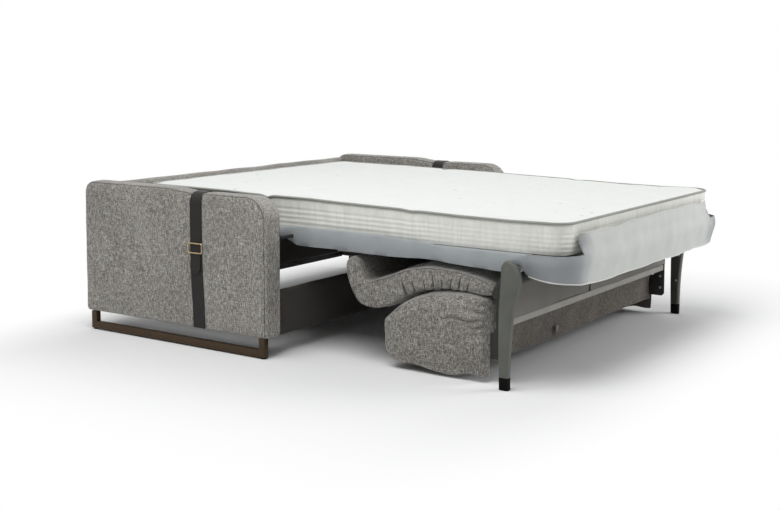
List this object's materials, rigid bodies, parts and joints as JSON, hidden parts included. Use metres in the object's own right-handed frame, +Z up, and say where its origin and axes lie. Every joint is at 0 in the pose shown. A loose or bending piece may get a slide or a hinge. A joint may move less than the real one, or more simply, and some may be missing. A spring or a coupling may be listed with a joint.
{
  "type": "sleeper sofa",
  "caption": "Sleeper sofa with upholstered arms, leather straps and metal sleds, its hinged bed pulled out on folding legs with the seat and backrest slung under the mattress",
  "frame": {"origin": "centre of the bounding box in plan, on the floor", "axes": "+X to the sitter's left, which is the right side seen from the foot end; the foot of the bed and the sofa's front face -Y; +Z up"},
  "size_m": [1.8388, 2.125, 0.616],
  "materials": {
    "fabric": "grey heather weave",
    "strap_leather": "charcoal leather",
    "sled_bronze": "dark bronze metallic paint",
    "buckle_brass": "satin brass",
    "leg_paint": "satin warm grey paint",
    "steel": "dull zinc-plated steel",
    "dark_steel": "black powder coat",
    "black_plastic": "black moulded plastic",
    "ticking": "white quilted knit",
    "bed_cloth": "pale blue-grey woven cloth",
    "webbing": "dark elastic webbing",
    "dark_cloth": "brown-grey lining cloth"
  },
  "bodies": {
    "root": {"arm_left": "fabric", "arm_right": "fabric", "back_panel": "fabric", "front_rail": "dark_cloth", "rear_rail": "dark_steel", "sled_left": "sled_bronze", "sled_right": "sled_bronze", "rear_glide_left": "black_plastic", "rear_glide_right": "black_plastic", "front_glide_left": "black_plastic", "front_glide_right": "black_plastic", "strap_left": "strap_leather", "strap_right": "strap_leather", "strap_tail_left": "strap_leather", "strap_tail_right": "strap_leather", "buckle_left": "buckle_brass", "buckle_right": "buckle_brass", "side_plate_left": "dark_steel", "side_plate_right": "dark_steel"},
    "front_swing_left": {"front_swing_left": "dark_steel"},
    "front_swing_right": {"front_swing_right": "dark_steel"},
    "rear_swing_left": {"rear_swing_left": "dark_steel"},
    "rear_swing_right": {"rear_swing_right": "dark_steel"},
    "middle": {"middle_frame": "steel", "middle_webbing": "webbing", "middle_cover": "bed_cloth", "mattress_middle": "ticking", "bend_cover": "bed_cloth", "mattress_bend": "ticking"},
    "head": {"head_frame": "steel", "head_webbing": "webbing", "head_cover": "bed_cloth", "mattress_head": "ticking"},
    "link": {"fold_link": "steel", "fold_cover": "bed_cloth", "mattress_fold": "ticking"},
    "foot": {"foot_frame": "steel", "foot_webbing": "webbing", "foot_cover": "bed_cloth", "mattress_foot": "ticking", "foot_flap": "bed_cloth", "leg_bolt_left": "steel", "leg_bolt_right": "steel"},
    "leg_left": {"leg_left": "leg_paint", "leg_tip_left": "black_plastic"},
    "leg_right": {"leg_right": "leg_paint", "leg_tip_right": "black_plastic"},
    "hanger": {"hanger_left": "dark_steel", "hanger_right": "dark_steel", "hinge_rod": "steel"},
    "seat": {"seat_hinge_plate": "dark_steel", "seat_cushion_left": "fabric", "seat_cushion_right": "fabric"},
    "backrest": {"backrest_shell": "fabric", "backrest_crossbar": "leg_paint", "backrest_bracket_left": "dark_steel", "backrest_bracket_right": "dark_steel", "backrest_end_cloth": "dark_cloth"}
  },
  "joints": [
    {"name": "front_swing_left_pivot", "type": "hinge", "parent": "root", "child": "front_swing_left", "pos_m": [-0.7867, 0.3598, 0.09], "axis": [-1, 0, 0], "range_deg": [0, 124.08]},
    {"name": "front_swing_right_pivot", "type": "hinge", "parent": "root", "child": "front_swing_right", "pos_m": [0.7867, 0.3598, 0.09], "axis": [-1, 0, 0], "range_deg": [0, 124.08]},
    {"name": "rear_swing_left_pivot", "type": "hinge", "parent": "root", "child": "rear_swing_left", "pos_m": [-0.7982, 0.4598, 0.09], "axis": [-1, 0, 0], "range_deg": [0, 124.08]},
    {"name": "rear_swing_right_pivot", "type": "hinge", "parent": "root", "child": "rear_swing_right", "pos_m": [0.7982, 0.4598, 0.09], "axis": [-1, 0, 0], "range_deg": [0, 124.08]},
    {"name": "bed_carrier_pivot", "type": "hinge", "parent": "front_swing_left", "child": "middle", "pos_m": [-0.7867, 0.1225, 0.44], "axis": [-1, 0, 0], "range_deg": [-124.08, 0]},
    {"name": "head_hinge", "type": "hinge", "parent": "middle", "child": "head", "pos_m": [0, 0.2685, 0.44], "axis": [-1, 0, 0], "range_deg": [-90, 0], "deforming": ["mattress_bend", "bend_cover"]},
    {"name": "fold_hinge", "type": "hinge", "parent": "middle", "child": "link", "pos_m": [0, -0.306, 0.44], "axis": [-1, 0, 0], "range_deg": [0, 90], "deforming": ["mattress_fold", "fold_cover"]},
    {"name": "foot_hinge", "type": "hinge", "parent": "link", "child": "foot", "pos_m": [0, -0.596, 0.44], "axis": [-1, 0, 0], "range_deg": [0, 90], "deforming": ["foot_flap"]},
    {"name": "leg_left_pivot", "type": "hinge", "parent": "foot", "child": "leg_left", "pos_m": [-0.764, -0.8525, 0.41], "axis": [-1, 0, 0], "range_deg": [-90, 0]},
    {"name": "leg_right_pivot", "type": "hinge", "parent": "foot", "child": "leg_right", "pos_m": [0.764, -0.8525, 0.41], "axis": [-1, 0, 0], "range_deg": [-90, 0]},
    {"name": "hanger_pivot", "type": "hinge", "parent": "foot", "child": "hanger", "pos_m": [0, -0.8525, 0.41], "axis": [-1, 0, 0], "range_deg": [0, 45]},
    {"name": "seat_hinge", "type": "hinge", "parent": "hanger", "child": "seat", "pos_m": [0, -0.7975, 0.32], "axis": [-1, 0, 0], "range_deg": [-55.5, 0]},
    {"name": "backrest_hinge", "type": "hinge", "parent": "hanger", "child": "backrest", "pos_m": [0, -0.7975, 0.32], "axis": [-1, 0, 0], "range_deg": [0, 49], "deforming": ["backrest_end_cloth"]}
  ],
  "couplings": [
    {"joint": "front_swing_right_pivot", "follows": "front_swing_left_pivot", "ratio": 1},
    {"joint": "rear_swing_left_pivot", "follows": "front_swing_left_pivot", "ratio": 1},
    {"joint": "rear_swing_right_pivot", "follows": "front_swing_left_pivot", "ratio": 1},
    {"joint": "bed_carrier_pivot", "follows": "front_swing_left_pivot", "ratio": -1},
    {"joint": "head_hinge", "follows": "front_swing_left_pivot", "ratio": -0.72534},
    {"joint": "fold_hinge", "follows": "front_swing_left_pivot", "ratio": 0.72534},
    {"joint": "foot_hinge", "follows": "front_swing_left_pivot", "ratio": 0.72534},
    {"joint": "leg_left_pivot", "follows": "front_swing_left_pivot", "ratio": -0.72534},
    {"joint": "leg_right_pivot", "follows": "front_swing_left_pivot", "ratio": -0.72534},
    {"joint": "hanger_pivot", "follows": "front_swing_left_pivot", "ratio": 0.36267},
    {"joint": "seat_hinge", "follows": "front_swing_left_pivot", "ratio": -0.44729},
    {"joint": "backrest_hinge", "follows": "front_swing_left_pivot", "ratio": 0.39491}
  ]
}
